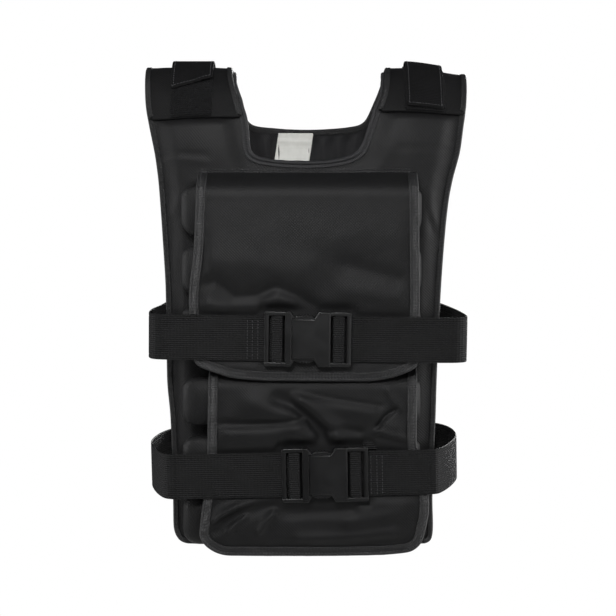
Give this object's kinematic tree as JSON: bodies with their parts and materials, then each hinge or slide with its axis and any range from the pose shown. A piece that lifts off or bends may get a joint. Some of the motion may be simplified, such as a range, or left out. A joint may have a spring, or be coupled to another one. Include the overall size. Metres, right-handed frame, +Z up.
{
  "type": "weighted vest",
  "caption": "Black weighted training vest with padded panels, pouch rows under front flaps, and buckled waist belts.",
  "frame": {"origin": "midway between the shoulders, at the height of the underside of the shoulder straps", "axes": "+Z up along the wearer's back, -Y the way the wearer faces, +X to the right of someone looking at the front"},
  "size_m": [0.36, 0.193, 0.5463],
  "materials": {
    "woven_cloth": "matt plain weave",
    "binding_tape": "satin woven tape",
    "belt_webbing": "ribbed webbing",
    "loop_pile": "matt loop pile",
    "buckle_plastic": "moulded satin",
    "label_cloth": "smooth matt"
  },
  "bodies": {
    "root": {"front_panel": "woven_cloth", "back_panel": "woven_cloth", "upper_flap": "woven_cloth", "lower_flap": "woven_cloth", "pouch_1": "woven_cloth", "pouch_2": "woven_cloth", "pouch_3": "woven_cloth", "pouch_4": "woven_cloth", "pouch_5": "woven_cloth", "pouch_6": "woven_cloth", "neck_binding": "binding_tape", "upper_flap_binding": "binding_tape", "lower_flap_binding": "binding_tape", "upper_belt": "belt_webbing", "lower_belt": "belt_webbing", "lower_belt_end": "belt_webbing", "shoulder_tab_left": "belt_webbing", "shoulder_tab_right": "belt_webbing", "shoulder_patch_left": "loop_pile", "shoulder_patch_right": "loop_pile", "upper_buckle_male": "buckle_plastic", "upper_buckle_female": "buckle_plastic", "lower_buckle_male": "buckle_plastic", "lower_buckle_female": "buckle_plastic", "care_label": "label_cloth"}
  },
  "joints": []
}
